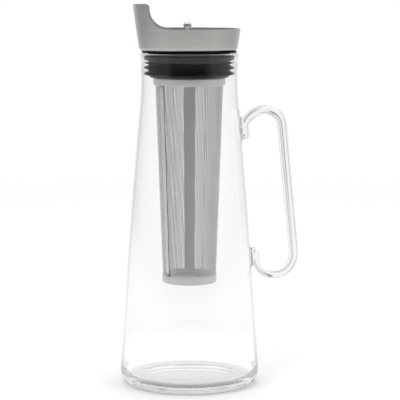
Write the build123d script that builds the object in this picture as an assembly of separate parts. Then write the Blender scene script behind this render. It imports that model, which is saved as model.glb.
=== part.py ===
from build123d import *
from math import asin, atan2, cos, degrees, hypot, radians, sin, sqrt, tan
import os

# Iced tea maker: a tall glass jug with a glass rod handle, closed by a steel lid that has a raised
# pouring lip, a hinged steel flap and a long tea infuser hanging from it.
# Millimetres. +Z is up. The origin is on the table, on the axis of the jug.
# -X is the side that pours, +X is the side of the handle. Everything is symmetric about y = 0
# apart from the seam straps of the infuser.

# ---------------------------------------------------------------- driving dimensions
# glass jug
base_radius = 55.7        # the side wall carried down to the table, before the heel is rounded
neck_radius = 37.9        # outside of the neck
neck_length = 31.0        # from the top of the glass down to where the side meets the neck
side_bow = 1.1            # how far the side bulges out of a straight cone, at its middle
shoulder_blend = 150.0    # radius that eases the side into the neck
heel_round = 9.5          # outer radius at the foot of the side
glass_wall = 1.9
glass_floor = 5.5
inner_heel_round = 9.0
push_up = 1.2             # rise of the underside at its centre
push_up_radius = 38.0     # where the underside meets the table
rim_height = 262.0        # top of the glass
rim_reach = 1.1           # how far the rim stands out of the neck
rim_flare = 6.0           # height over which the neck flares out to the rim

# glass handle, a round rod bent in the plane y = 0
rod_radius = 3.9
handle_drop = 44.5        # from the top of the glass down to the rod's highest point, on its centreline
handle_reach = 20.8       # from the jug's wall out to that point
handle_grip = 101.5       # length of the straight grip
handle_top_bend = 13.2    # bend above the grip
handle_neck_bend = 18.0   # bend from the top to the upper weld
handle_neck_turn = 68.0   # degrees of that bend
handle_low_bend = 16.2    # bend below the grip
handle_curl_bend = 14.0   # bend from the lowest point to the lower weld
handle_tail = 3.0         # straight stretch that lies along the wall
tail_standoff = 3.75      # from the wall to the tail's centreline
upper_weld_drop = 15.5    # from the handle's top to the middle of the weld pad
upper_weld_pad = (10.0, 4.8)   # straight length and radius of the pad
lower_weld_drop = 117.0
lower_weld_pad = (6.0, 4.4)

# steel shell of the lid, a drawn cup with a raised lip
shell_sheet = 0.8
shell_inset = 0.4         # how far its foot stands inside the outside of the neck
shell_depth = 17.3        # from its bottom to the level rim
shell_flare = 2.7         # how much wider the rim is than the foot, in radius
lip_rise = 19.0           # from the level rim to the top of the lip
lip_flare = 5.1           # how much wider the lip's top is than the foot, in radius
shell_corner = 3.0
nose_reach = 1.4          # how far the front half is drawn forward
lip_sweep = 14.9          # radius of the side view's sweep from the rim up to the lip
lip_sweep_start = -16.9   # where the sweep leaves the level rim
lip_sweep_turn = 86.5     # degrees of that sweep
lip_corner = 3.5
throat_radius = 27.8      # bore through the lid, and the socket of the infuser

# black plug below the shell
core_tube_wall = 2.1
core_wall = 1.8
core_floor = 2.0          # thickness of the pouring floor
pour_floor_rise = 8.5     # from the shell's floor to the top of the pouring floor
socket_depth = 18.8       # from the top of the glass to the bottom of the core's tube
clamp_wall = 1.2
clamp_bevel = 0.6
clamp_overhang = 0.2      # how far the clamp ring reaches below the core
gasket_flange = 1.4
gasket_flange_inset = 0.6   # how far its flange stands inside the outside of the neck
gasket_root = 0.9         # thickness of the gasket between its fins
gasket_depth = 17.6       # from the top of the glass to its lower end
fin_count = 4
fin_drop = 2.7            # from the top of the glass to the middle of the uppermost fin
fin_pitch = 4.4
fin_root_height = 3.2
fin_tip_height = 0.8

# hinged flap
flap_sheet = 1.0
flap_edge_gap = 1.2       # between the flap's edge and the wall of the shell
hinge_setback = 6.5       # from the flap's edge to the hinge pin
hinge_rise = 3.3          # from the pouring floor to the hinge pin
hinge_open = 95.0         # degrees, where the heel of the ears meets the pouring floor
pin_radius = 1.0
pin_head_radius = 1.7
pin_head = 0.7
ear_round = 2.1
ear_sheet = 1.0
ear_inner = 8.0           # half the gap between the ears
ear_foot = 5.0            # length of the ear's foot on the flap
heel_reach = 3.1          # from the pin to the centre of the stop heel
heel_round_radius = 0.8
lug_round = 2.2
lug_width = 3.0

# ball knob on the flap
knob_x = -1.4
ball_radius = 3.25
ball_rise = 9.5           # from the flap to the centre of the ball
stem_radius = 1.8
knob_foot_radius = 3.2
knob_foot = 1.0
screw_radius = 1.25
screw_depth = 5.0         # how far the screw reaches into the knob
screw_end_gap = 0.5       # left at the bottom of its hole
screw_head_radius = 2.6
screw_head = 1.5
slot_width = 0.7
slot_depth = 0.7
washer_radius = 2.9
washer_thickness = 0.5

# infuser
collar_step = 0.6         # how far the collar stands out of the lid's bore
collar_height = 5.2
neck_rise = 13.3          # from the collar to the top of the part that plugs in
neck_wall = 2.7
skirt_wall = 1.8          # thickness of the collar round the sleeve
sleeve_taper = 2.1        # degrees that its side leans in
sleeve_length = 156.0     # below the collar
sleeve_tuck = 4.0         # how far the sleeve reaches up inside the collar
sleeve_sheet = 0.4
grip_section = 0.9        # radius of the grip ring's round section
grip_rise = 7.3           # from the collar to the middle of the grip ring
groove_width = 2.0
base_ring_sheet = 0.6
base_ring_height = 5.5
base_lip = 2.5
strap_sheet = 0.35
straps = ((90.0, 21.0), (217.0, 12.0))   # direction and width of each seam strap, degrees

# clearances
rest_gap = 0.3            # between faces that rest on each other across a joint
slip_gap = 0.3            # between round faces that slide past each other
pin_gap = 0.05            # radial play of the pin in the ears
fit_gap = 0.02            # radial play of a fixed pin, screw or ring
fin_gap = 0.3             # between a fin's tip and the glass
grip_gap = 0.15           # between the grip ring and its socket
strap_gap = 0.2           # between a strap's ends and its neighbours

# ---------------------------------------------------------------- worked-out values
shoulder_height = rim_height - neck_length
side_chord = hypot(base_radius - neck_radius, shoulder_height)
side_radius = (side_chord**2 / 4 + side_bow**2) / (2 * side_bow)
side_centre_r = (base_radius + neck_radius) / 2 - (side_radius - side_bow) * shoulder_height / side_chord
side_centre_z = shoulder_height / 2 - (side_radius - side_bow) * (base_radius - neck_radius) / side_chord
neck_bore_radius = neck_radius - glass_wall

gasket_rest = rim_height + rest_gap
gasket_bottom = rim_height - gasket_depth
fin_top = rim_height - fin_drop
shell_bottom = gasket_rest + gasket_flange
shell_floor = shell_bottom + shell_sheet
shell_foot_radius = neck_radius - shell_inset
shell_rim = shell_bottom + shell_depth
lip_height = shell_rim + lip_rise
pour_floor = shell_floor + pour_floor_rise
core_bottom = rim_height - socket_depth
core_tube_radius = throat_radius + core_tube_wall
clamp_radius = core_tube_radius + fit_gap + clamp_wall
clamp_bottom = core_bottom - clamp_overhang
flap_bottom = pour_floor + rest_gap
flap_top = flap_bottom + flap_sheet
cup_slope = shell_flare / shell_depth
flap_radius = shell_foot_radius + cup_slope * (flap_bottom - shell_bottom) - shell_sheet - flap_edge_gap
hinge_x = flap_radius - hinge_setback
hinge_height = pour_floor + hinge_rise
flap_back = hinge_x - lug_round - rest_gap
ball_height = flap_top + ball_rise
collar_top = clamp_bottom - rest_gap
collar_bottom = collar_top - collar_height
collar_radius = throat_radius + collar_step
neck_outer = throat_radius - slip_gap
neck_bore = neck_outer - neck_wall
neck_top = collar_top + neck_rise
grip_height = collar_top + grip_rise
sleeve_radius = collar_radius - skirt_wall
sleeve_top = collar_bottom + sleeve_tuck
sleeve_bottom = collar_bottom - sleeve_length
big = 400.0               # longer than anything here
side_steps = 4            # stretches of the curve that draws the jug's side


def wall_radius(height, inset=0.0):
    """Radius of the jug's sloping side at a height, or of a surface inset from it."""
    return side_centre_r + sqrt((side_radius - inset)**2 - (height - side_centre_z)**2)


def wall_lean(height):
    """Degrees that the jug's side leans inwards at a height."""
    return degrees(asin((height - side_centre_z) / side_radius))


def neck_start(inset):
    """Height where the side, inset from its surface, reaches the inset neck."""
    reach = neck_radius - inset - side_centre_r
    return side_centre_z + sqrt((side_radius - inset)**2 - reach**2)


def sleeve_at(height):
    """Outer radius of the infuser's sleeve at a height."""
    return sleeve_radius - (collar_bottom - height) * tan(radians(sleeve_taper))


def upright(sketch):
    """A sketch drawn in x and z, stood up in the plane y = 0."""
    return Plane.XZ * sketch


def outline(*points):
    return make_face(Polyline(*points, close=True))


def turned(sketch, angle=360.0):
    return revolve(upright(sketch), Axis.Z, angle)


def rounded(sketch, point, radius):
    """The sketch with its corner nearest to a point rounded."""
    corner = sketch.vertices().sort_by_distance((*point, 0))[0]
    return fillet(corner, radius)


def disc(radius, bottom, top, x=0.0, y=0.0):
    """An upright cylinder between two heights."""
    return Pos(x, y, bottom) * Cylinder(radius, top - bottom, align=(Align.CENTER, Align.CENTER, Align.MIN))


def across(radius, y_from, y_to, x, z):
    """A cylinder that lies along Y."""
    middle = (y_from + y_to) / 2
    return Pos(x, middle, z) * Rot(90, 0, 0) * Cylinder(radius, abs(y_to - y_from))


def plate(sketch, y_from, y_to):
    """A sketch in x and z, made a plate that spans two values of y."""
    return Pos(0, y_to, 0) * extrude(upright(sketch), y_to - y_from)


# ---------------------------------------------------------------- jug
def jug_half(inset, floor, heel):
    """Half section of the jug's side and neck, without its rim, inset from the outer surface."""
    foot = (wall_radius(floor, inset), floor)
    shoulder = (neck_radius - inset, neck_start(inset))
    between = [floor + (shoulder[1] - floor) * step / side_steps for step in range(1, side_steps)]
    top = rim_height - rim_flare - (rim_reach + glass_wall) / 2
    edges = Line((0, floor), foot)
    edges += Spline(foot, *[(wall_radius(height, inset), height) for height in between], shoulder)
    edges += Line(shoulder, (shoulder[0], top))
    edges += Line((shoulder[0], top), (0, top))
    edges += Line((0, top), (0, floor))
    half = rounded(make_face(edges), foot, heel)
    return rounded(half, shoulder, shoulder_blend + inset)


def rim_half():
    """Half section of the flared and fire-rounded rim, above the plain neck."""
    bead = (rim_reach + glass_wall) / 2
    bead_height = rim_height - bead
    start = bead_height - rim_flare
    outer = neck_radius + rim_reach
    edges = Line((neck_bore_radius, start), (neck_radius, start))
    edges += Spline((neck_radius, start), (outer, bead_height), tangents=((0, 1), (0, 1)))
    crest = (outer - bead, rim_height)
    edges += ThreePointArc((outer, bead_height), crest, (neck_bore_radius, bead_height))
    edges += Line((neck_bore_radius, bead_height), (neck_bore_radius, start))
    return make_face(edges)


def hollow_under_base():
    middle = (push_up_radius / 2, push_up * 3 / 4)
    edges = ThreePointArc((0, push_up), middle, (push_up_radius, 0))
    edges += Line((push_up_radius, 0), (0, 0))
    edges += Line((0, 0), (0, push_up))
    return make_face(edges)


def carafe():
    glass = jug_half(0, 0, heel_round) - jug_half(glass_wall, glass_floor, inner_heel_round)
    return turned(glass - hollow_under_base() + rim_half())


def weld_pad(height, length, radius):
    """A round-ended pad that lies along the jug's wall on the handle's side."""
    pad = Cylinder(radius, length) + Pos(0, 0, length / 2) * Sphere(radius)
    pad += Pos(0, 0, -length / 2) * Sphere(radius)
    return Pos(wall_radius(height), 0, height) * Rot(0, -wall_lean(height), 0) * pad


def handle():
    top_height = rim_height - handle_drop
    top = (wall_radius(top_height) + handle_reach, top_height)
    lower_weld = top_height - lower_weld_drop
    curl_turn = 90 - wall_lean(lower_weld)
    tail_radius = wall_radius(lower_weld) + tail_standoff
    # the grip leans so that the curl below it ends at the wall
    across_grip = tail_radius + handle_curl_bend * sin(radians(curl_turn)) - top[0]
    bend_step = handle_low_bend - handle_top_bend
    lean = degrees(asin(across_grip / hypot(handle_grip, bend_step)) + atan2(bend_step, handle_grip))

    neck_bend = JernArc(top, (-1, 0), handle_neck_bend, handle_neck_turn)
    top_bend = JernArc(top, (1, 0), handle_top_bend, lean - 90)
    grip_end = top_bend @ 1 + top_bend % 1 * handle_grip
    grip = Line(top_bend @ 1, grip_end)
    low_bend = JernArc(grip_end, grip % 1, handle_low_bend, -lean - 90)
    curl = JernArc(low_bend @ 1, low_bend % 1, handle_curl_bend, -curl_turn)
    tail_end = curl @ 1 + curl % 1 * handle_tail
    path = upright(neck_bend + top_bend + grip + low_bend + curl + Line(curl @ 1, tail_end))
    path = Wire(path.edges())
    rod = sweep(Plane(path @ 0, z_dir=path % 0) * Circle(rod_radius), path)
    tip = Pos(tail_end.X, 0, tail_end.Y) * Sphere(rod_radius)
    pads = weld_pad(top_height - upper_weld_drop, *upper_weld_pad) + weld_pad(lower_weld, *lower_weld_pad)
    return rod + tip + pads - turned(jug_half(0, 0, heel_round))


# ---------------------------------------------------------------- lid
def cup_half(inset, bottom, top):
    """Half section of the shell's cup, inset from its outer surface, between two heights."""
    foot = shell_foot_radius - inset
    points = [(foot, shell_bottom), (foot + shell_flare, shell_rim), (foot + lip_flare, lip_height)]
    edges = Line((0, shell_bottom), points[0])
    edges += Spline(*points)
    edges += Polyline(points[2], (points[2][0], big), (0, big), (0, shell_bottom))
    band = Pos(big / 2, (bottom + top) / 2) * Rectangle(big, top - bottom)
    return make_face(edges) & band


def drawn_forward(half):
    """A turned body whose front half stands forward by the reach of the nose."""
    rear = Rot(0, 0, -90) * turned(half, 180)
    front = Pos(-nose_reach, 0, 0) * Rot(0, 0, 90) * turned(half, 180)
    section = Rot(0, 0, 90) * upright(half + mirror(half, Plane.YZ))
    between = extrude(section, nose_reach, dir=(-1, 0, 0))
    return rear + between + front


def above_the_rim():
    """Side view of what is cut away above the level rim, behind the lip and above it."""
    sweep_arc = JernArc((lip_sweep_start, shell_rim), (-1, 0), lip_sweep, -lip_sweep_turn)
    foot, rise = sweep_arc @ 1, sweep_arc % 1
    corner = foot + rise * ((lip_height - foot.Y) / rise.Y)
    edges = sweep_arc + Line(foot, corner)
    edges += Polyline(corner, (-big, lip_height), (-big, big), (big, big), (big, shell_rim), sweep_arc @ 0)
    return rounded(make_face(edges), (corner.X, corner.Y), lip_corner)


def lid_shell():
    sheet = drawn_forward(cup_half(0, shell_bottom, lip_height + 1))
    corner = sheet.faces().sort_by(Axis.Z)[0].outer_wire().edges()
    sheet = fillet(corner, shell_corner)
    inside = drawn_forward(cup_half(shell_sheet, shell_floor, lip_height + 2))
    corner = inside.faces().sort_by(Axis.Z)[0].outer_wire().edges()
    sheet -= fillet(corner, shell_corner - shell_sheet)
    sheet -= disc(core_tube_radius + fit_gap, shell_bottom - 1, shell_floor + 1)
    return sheet - plate(above_the_rim(), -big / 2, big / 2)


def lug(side):
    """One of the two posts that hold the hinge pin."""
    y_from = side * (ear_inner + ear_sheet + rest_gap)
    y_to = y_from + side * lug_width
    foot = pour_floor - core_floor / 2
    middle = (hinge_height + foot) / 2
    shape = Pos(hinge_x, middle) * Rectangle(2 * lug_round, hinge_height - foot)
    shape += Pos(hinge_x, hinge_height) * Circle(lug_round)
    return plate(shape, min(y_from, y_to), max(y_from, y_to))


def lid_core():
    core = drawn_forward(cup_half(shell_sheet + slip_gap, shell_floor, pour_floor))
    edge = core.faces().sort_by(Axis.Z)[0].outer_wire().edges()
    core = fillet(edge, shell_corner - shell_sheet)
    moat_radius = shell_foot_radius - shell_sheet - slip_gap - core_wall
    moat = disc(moat_radius, shell_floor - 1, pour_floor - core_floor)
    core -= moat - disc(core_tube_radius, shell_floor - 2, pour_floor)
    core += disc(core_tube_radius, core_bottom, pour_floor)
    core -= disc(throat_radius, core_bottom - 1, pour_floor + 1)
    core += lug(1) + lug(-1)
    return core - across(pin_radius + fit_gap, -big / 2, big / 2, hinge_x, hinge_height)


def clamp_ring():
    inner = core_tube_radius + fit_gap
    ring = outline((inner, clamp_bottom), (clamp_radius - clamp_bevel, clamp_bottom),
                   (clamp_radius, clamp_bottom + clamp_bevel), (clamp_radius, shell_bottom),
                   (inner, shell_bottom))
    return turned(ring)


def gasket():
    inner = clamp_radius + fit_gap
    root = inner + gasket_root
    tip = neck_bore_radius - fin_gap
    flange = neck_radius - gasket_flange_inset
    body = outline((inner, gasket_bottom), (root, gasket_bottom), (root, gasket_rest),
                   (flange, gasket_rest), (flange, shell_bottom), (inner, shell_bottom))
    for number in range(fin_count):
        height = fin_top - number * fin_pitch
        low, high = height - fin_root_height / 2, height + fin_root_height / 2
        body += outline((inner, low), (root, low), (tip, height - fin_tip_height / 2),
                        (tip, height + fin_tip_height / 2), (root, high), (inner, high))
    return turned(body)


def hinge_pin():
    end = ear_inner + ear_sheet + rest_gap + lug_width
    pin = across(pin_radius, -end, end, hinge_x, hinge_height)
    pin += across(pin_head_radius, end, end + pin_head, hinge_x, hinge_height)
    return pin + across(pin_head_radius, -end - pin_head, -end, hinge_x, hinge_height)


# ---------------------------------------------------------------- flap
def ear(side):
    """One of the flap's two bent-up ears, with the heel that stops it when it is open."""
    drop = hinge_rise - rest_gap - heel_round_radius
    heel_angle = radians(hinge_open - degrees(asin(drop / heel_reach)))
    heel = (hinge_x + heel_reach * cos(heel_angle), hinge_height + heel_reach * sin(heel_angle))
    foot = outline((flap_back - ear_foot, flap_top), (flap_back - ear_foot, flap_bottom),
                   (flap_back, flap_bottom), (flap_back, flap_top))
    around_pin = Pos(hinge_x, hinge_height) * Circle(ear_round)
    shape = make_hull(foot.edges() + around_pin.edges())
    shape += make_hull(around_pin.edges() + (Pos(*heel) * Circle(heel_round_radius)).edges())
    y_from, y_to = sorted((side * ear_inner, side * (ear_inner + ear_sheet)))
    return plate(shape, y_from, y_to)


def flap():
    blank = Circle(flap_radius) + Pos(-nose_reach, 0) * Circle(flap_radius)
    blank += Pos(-nose_reach / 2, 0) * Rectangle(nose_reach, 2 * flap_radius)
    blank -= Pos(flap_back + big / 2, 0) * Rectangle(big, big)
    sheet = Pos(0, 0, flap_bottom) * extrude(blank, flap_sheet)
    sheet += ear(1) + ear(-1)
    sheet -= across(pin_radius + pin_gap, -big / 2, big / 2, hinge_x, hinge_height)
    return sheet - disc(screw_radius + fit_gap, flap_bottom - 1, flap_top + 1, knob_x)


def flap_knob():
    knob = disc(knob_foot_radius, flap_top, flap_top + knob_foot, knob_x)
    knob += disc(stem_radius, flap_top, ball_height, knob_x)
    knob += Pos(knob_x, 0, ball_height) * Sphere(ball_radius)
    return knob - disc(screw_radius + fit_gap, flap_top - 1, flap_top + screw_depth + screw_end_gap, knob_x)


def knob_washer():
    washer = disc(washer_radius, flap_bottom - washer_thickness, flap_bottom, knob_x)
    return washer - disc(screw_radius + fit_gap, flap_bottom - big, flap_bottom + 1, knob_x)


def knob_screw():
    seat = flap_bottom - washer_thickness
    screw = disc(screw_head_radius, seat - screw_head, seat, knob_x)
    screw += disc(screw_radius, seat, flap_top + screw_depth, knob_x)
    slot = Box(2 * screw_head_radius + 1, slot_width, slot_depth * 2)
    return screw - Pos(knob_x, 0, seat - screw_head) * slot


# ---------------------------------------------------------------- infuser
def sleeve_band(inner, outer, bottom, top):
    """Section of a conical band that follows the sleeve, between two offsets from its outside."""
    low, high = sleeve_at(bottom), sleeve_at(top)
    return outline((low + inner, bottom), (low + outer, bottom), (high + outer, top), (high + inner, top))


def infuser_collar():
    ring = outline((neck_bore, sleeve_top), (collar_radius, sleeve_top), (collar_radius, collar_top),
                   (neck_outer, collar_top), (neck_outer, neck_top), (neck_bore, neck_top))
    skirt = outline((sleeve_at(collar_bottom), collar_bottom), (collar_radius, collar_bottom),
                    (collar_radius, sleeve_top), (sleeve_at(sleeve_top), sleeve_top))
    groove_floor = throat_radius - grip_gap - 2 * grip_section - fit_gap
    low, high = grip_height - groove_width / 2, grip_height + groove_width / 2
    groove = outline((groove_floor, low), (collar_radius, low), (collar_radius, high), (groove_floor, high))
    return turned(ring + skirt - groove)


def grip_ring():
    middle = throat_radius - grip_gap - grip_section
    return turned(Pos(middle, grip_height) * Circle(grip_section))


def infuser_screen():
    return turned(sleeve_band(-sleeve_sheet, 0, sleeve_bottom, sleeve_top))


def seam_straps():
    band = sleeve_band(0, strap_sheet, sleeve_bottom + base_ring_height + strap_gap,
                       collar_bottom - strap_gap)
    made = [Rot(0, 0, direction - width / 2) * turned(band, width) for direction, width in straps]
    return Compound(children=made)


def infuser_base_ring():
    wall = sleeve_band(0, base_ring_sheet, sleeve_bottom, sleeve_bottom + base_ring_height)
    outer = sleeve_at(sleeve_bottom) + base_ring_sheet
    inner = sleeve_at(sleeve_bottom) - sleeve_sheet - base_lip
    low = sleeve_bottom - base_ring_sheet
    lip = outline((inner, low), (outer, low), (outer, sleeve_bottom), (inner, sleeve_bottom))
    return turned(wall + lip)


def infuser_base_screen():
    radius = sleeve_at(sleeve_bottom) - sleeve_sheet - fit_gap
    return disc(radius, sleeve_bottom, sleeve_bottom + sleeve_sheet)


# ---------------------------------------------------------------- write the pieces
pieces = [carafe, handle, lid_shell, lid_core, clamp_ring, gasket, hinge_pin, flap, flap_knob,
          knob_washer, knob_screw, infuser_collar, grip_ring, infuser_screen, seam_straps,
          infuser_base_ring, infuser_base_screen]
os.makedirs("parts", exist_ok=True)
for piece in pieces:
    export_step(piece(), f"parts/{piece.__name__}.step")
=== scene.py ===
# %% [markdown]
# # A glass jug for iced tea, in Blender
# A tall blown jug with a glass rod handle stands on a white table. A drawn steel lid with a raised lip closes it,
# and a long perforated steel infuser hangs from the lid into the jug. The pieces that carry and turn already exist
# as a fixed frame, in metres. Every piece made here is put where the frame says and moves with one of its bodies.

# %% The frame
from math import acos, asin, atan2, cos, degrees, hypot, pi, radians, sin, sqrt, tan

import bmesh
import bpy
from mathutils import Matrix, Vector


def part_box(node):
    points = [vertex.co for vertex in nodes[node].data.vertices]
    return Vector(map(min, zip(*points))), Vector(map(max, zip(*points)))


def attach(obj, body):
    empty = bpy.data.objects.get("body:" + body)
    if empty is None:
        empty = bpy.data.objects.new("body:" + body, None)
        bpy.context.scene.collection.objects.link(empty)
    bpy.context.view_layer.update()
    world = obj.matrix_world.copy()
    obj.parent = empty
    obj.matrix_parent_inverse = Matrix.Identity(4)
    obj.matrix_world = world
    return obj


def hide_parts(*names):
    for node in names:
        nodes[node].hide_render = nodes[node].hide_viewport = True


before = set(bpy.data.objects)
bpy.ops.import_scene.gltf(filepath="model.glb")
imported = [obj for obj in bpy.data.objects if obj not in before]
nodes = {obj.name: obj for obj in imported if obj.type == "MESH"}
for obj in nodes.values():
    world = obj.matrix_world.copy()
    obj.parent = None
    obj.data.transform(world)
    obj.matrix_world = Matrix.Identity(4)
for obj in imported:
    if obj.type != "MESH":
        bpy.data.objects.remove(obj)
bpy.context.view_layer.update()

# %% [markdown]
# ## Camera
# Glass is all reflection and refraction, so the view comes first and every later choice is made by looking through
# it. The photographer stood about 1.26 m away with a long lens, just above the lid, and tilted it down a little.

# %% Camera
CAMERA_PLACE = (0.00841, -1.25736, 0.30892)
CAMERA_TILT = radians(82.61)      # 90 degrees would be level

camera_data = bpy.data.cameras.new("camera")
camera_data.lens = 144.0
camera_data.sensor_width = 36.0
camera = bpy.data.objects.new("camera", camera_data)
camera.location = CAMERA_PLACE
camera.rotation_euler = (CAMERA_TILT, 0, 0)
bpy.context.scene.collection.objects.link(camera)
bpy.context.scene.camera = camera
bpy.context.scene.view_settings.view_transform = "Standard"
print("camera: lens", camera_data.lens, "mm at", CAMERA_PLACE)

# %% [markdown]
# ## Helpers for turned pieces
# Blown glass, drawn steel and moulded rings are all bodies of revolution. Each is drawn as half a section, a chain
# of edges in the plane y = 0. A vertex bevel rounds the section's corners with real radii, and a spin turns it.

# %% Draw a section, round its corners, turn it
FULL_TURN = 2 * pi
WELD_DISTANCE = 1e-6


def section(points, closed=True):
    """A bmesh that holds a chain of edges through (radius, height) points, and its vertices in order."""
    bm = bmesh.new()
    verts = [bm.verts.new((radius, 0, height)) for radius, height in points]
    for one, two in zip(verts, verts[1:]):
        bm.edges.new((one, two))
    if closed:
        bm.edges.new((verts[-1], verts[0]))
    return bm, verts


def round_corner(bm, vert, radius, segments=5):
    """Replaces one corner of a section by an arc of a real radius."""
    one, two = (edge.other_vert(vert).co - vert.co for edge in vert.link_edges)
    reach = radius / tan(one.angle(two) / 2)
    bmesh.ops.bevel(bm, geom=[vert], offset=reach, offset_type="OFFSET", segments=segments,
                    profile=0.5, affect="VERTICES", material=-1)


def turn(bm, steps):
    """Spins a section a full turn about the vertical axis and closes seams and poles."""
    bmesh.ops.spin(bm, geom=bm.verts[:] + bm.edges[:], cent=(0, 0, 0), axis=(0, 0, 1), dvec=(0, 0, 0),
                   angle=FULL_TURN, steps=steps, use_merge=True)
    bmesh.ops.remove_doubles(bm, verts=bm.verts, dist=WELD_DISTANCE)
    bmesh.ops.dissolve_degenerate(bm, edges=bm.edges, dist=WELD_DISTANCE)
    bmesh.ops.recalc_face_normals(bm, faces=bm.faces)


def turned(points, rounds, steps):
    """A turned piece from the points of its section. rounds gives the radius of each rounded corner."""
    bm, verts = section(points)
    for number, radius in rounds.items():
        round_corner(bm, verts[number], radius)
    turn(bm, steps)
    return bm


# %% Make a bmesh an object of the model
def to_object(bm, name, sharp=35):
    """Turns a bmesh into a smooth-shaded object whose edges past an angle in degrees stay sharp."""
    mesh = bpy.data.meshes.new(name)
    bm.to_mesh(mesh)
    bm.free()
    mesh.shade_smooth()
    mesh.set_sharp_from_angle(angle=radians(sharp))
    piece = bpy.data.objects.new(name, mesh)
    bpy.context.scene.collection.objects.link(piece)
    return piece


def finish_piece(piece, material, body, slot, *stands_for):
    """Gives a piece its finish, lets it ride on a body and hides the frame's nodes that it stands for."""
    piece.data.materials.clear()
    piece.data.materials.append(material)
    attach(piece, body)
    if stands_for:
        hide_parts(*stands_for)
    print(f"{piece.name}: {len(piece.data.polygons)} faces on {body}")
    return piece


# %% Modifiers that finish a mesh
def apply_modifiers(piece):
    """Replaces a piece's mesh by what its modifiers make of it."""
    bpy.context.view_layer.update()
    graph = bpy.context.evaluated_depsgraph_get()
    made = bpy.data.meshes.new_from_object(piece.evaluated_get(graph))
    old = piece.data
    piece.modifiers.clear()
    piece.data = made
    bpy.data.meshes.remove(old)


def combine(piece, other, operation):
    """Joins another closed piece to this one, or cuts it away, and removes the other."""
    step = piece.modifiers.new("combine", "BOOLEAN")
    step.operation = operation
    step.solver = "EXACT"
    step.object = other
    apply_modifiers(piece)
    bpy.data.objects.remove(other)


def bevel_edges(piece, width, segments=2, angle=35):
    """Rounds a piece's sharp edges a little, so that they catch the light."""
    step = piece.modifiers.new("edges", "BEVEL")
    step.width = width
    step.segments = segments
    step.limit_method = "ANGLE"
    step.angle_limit = radians(angle)
    step.harden_normals = True


# %% [markdown]
# ## Sizes
# The jug's side is a slightly bowed cone that runs up into a straight neck. These are the same real sizes as the
# frame's, so that the blown glass made here lies exactly on it.

# %% Sizes of the jug
BASE_RADIUS = 0.0557          # the side carried down to the table
NECK_RADIUS = 0.0379
NECK_LENGTH = 0.031
JUG_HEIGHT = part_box("carafe")[1].z
SIDE_BOW = 0.0011
SHOULDER_ROUND = 0.150
HEEL_ROUND = 0.0095
GLASS_WALL = 0.0019
GLASS_FLOOR = 0.0055
INNER_HEEL_ROUND = 0.009
PUSH_UP = 0.0012
PUSH_UP_RADIUS = 0.038
RIM_REACH = 0.0011
RIM_FLARE = 0.006

shoulder_height = JUG_HEIGHT - NECK_LENGTH
side_chord = hypot(BASE_RADIUS - NECK_RADIUS, shoulder_height)
side_radius = (side_chord**2 / 4 + SIDE_BOW**2) / (2 * SIDE_BOW)
side_out = (side_radius - SIDE_BOW) / side_chord
side_centre_r = (BASE_RADIUS + NECK_RADIUS) / 2 - side_out * shoulder_height
side_centre_z = shoulder_height / 2 - side_out * (BASE_RADIUS - NECK_RADIUS)


def wall_radius(height, inset=0.0):
    """Radius of the jug's side at a height, or of a surface inset from it."""
    return side_centre_r + sqrt((side_radius - inset)**2 - (height - side_centre_z)**2)


def wall_lean(height):
    """Angle that the jug's side leans inwards at a height."""
    return asin((height - side_centre_z) / side_radius)


def neck_start(inset):
    """Height where the side, inset from its surface, reaches the inset neck."""
    reach = NECK_RADIUS - inset - side_centre_r
    return side_centre_z + sqrt((side_radius - inset)**2 - reach**2)


print(f"side at mid height {wall_radius(JUG_HEIGHT / 2):.4f} m, jug {JUG_HEIGHT:.4f} m tall")

# %% [markdown]
# ## Small helpers for nodes
# Materials, the table and the sky are all made of the same few nodes, so each gets a short function.

# %% Node helpers
def link(tree, one, two):
    tree.links.new(one, two)


def maths(tree, operation, first, second=None, clamp=False):
    """A Math node on sockets or numbers. Returns its output."""
    node = tree.nodes.new("ShaderNodeMath")
    node.operation = operation
    node.use_clamp = clamp
    for socket, value in zip(node.inputs, (first, second)):
        if isinstance(value, bpy.types.NodeSocket):
            link(tree, value, socket)
        elif value is not None:
            socket.default_value = value
    return node.outputs[0]


def remap(tree, value, low, high, to_low=0.0, to_high=1.0, smooth=True):
    """A Map Range node, whose numbers may also be sockets. Returns its output."""
    node = tree.nodes.new("ShaderNodeMapRange")
    node.interpolation_type = "SMOOTHSTEP" if smooth else "LINEAR"
    link(tree, value, node.inputs["Value"])
    for name, number in (("From Min", low), ("From Max", high), ("To Min", to_low), ("To Max", to_high)):
        if isinstance(number, bpy.types.NodeSocket):
            link(tree, number, node.inputs[name])
        else:
            node.inputs[name].default_value = number
    return node.outputs["Result"]


def split(tree, vector):
    """The x, y and z of a vector."""
    node = tree.nodes.new("ShaderNodeSeparateXYZ")
    link(tree, vector, node.inputs[0])
    return tuple(node.outputs)


def object_coordinates(tree):
    return tree.nodes.new("ShaderNodeTexCoord").outputs["Object"]


# %% [markdown]
# ## Stage
# Glass photographed on white is a matter of what it bends and mirrors. Looked through, it should show white. In
# its mirror it should show a room that is white behind and above, and dim in front and at the sides, or else it
# turns milky. The same room gives satin steel its soft shading. So the sky and the table answer by kind of ray:
# white to the camera and to a look through glass, and the room to a mirror ray. The table keeps its own colour
# near the object, which holds the soft shadow.

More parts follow.
